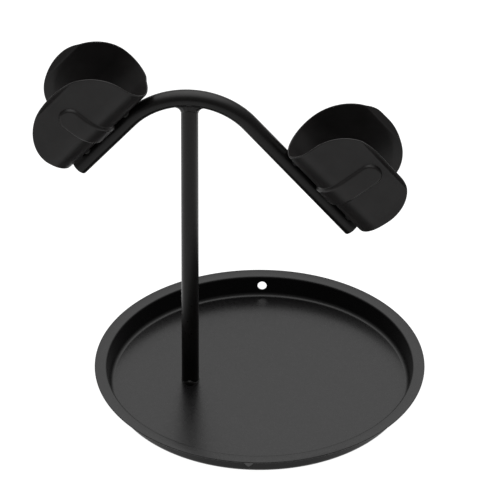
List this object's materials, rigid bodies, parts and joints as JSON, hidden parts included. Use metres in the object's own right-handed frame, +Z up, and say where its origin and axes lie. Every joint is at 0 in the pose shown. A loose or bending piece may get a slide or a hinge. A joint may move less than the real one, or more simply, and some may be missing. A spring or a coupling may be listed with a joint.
{
  "type": "mug tree",
  "caption": "Bent round tube on a vertical post with a U-shaped sheet-metal cradle on each sloping arm, standing in a round flat-lipped drip tray.",
  "frame": {"origin": "centre of the tray's underside, on the surface the stand rests on", "axes": "+Z up along the post; both arms lie in the XZ plane, the long arm towards +X; +Y towards the back"},
  "size_m": [0.3588, 0.305, 0.3568],
  "materials": {
    "tray_coat": "satin",
    "tube_coat": "satin",
    "cradle_coat": "satin",
    "weld_coat": "satin"
  },
  "bodies": {
    "root": {"tray": "tray_coat", "post": "tube_coat", "arm_bar": "tube_coat", "left_cradle": "cradle_coat", "right_cradle": "cradle_coat", "post_foot_weld": "weld_coat", "post_top_weld": "weld_coat", "left_cradle_welds": "weld_coat", "right_cradle_welds": "weld_coat"}
  },
  "joints": []
}
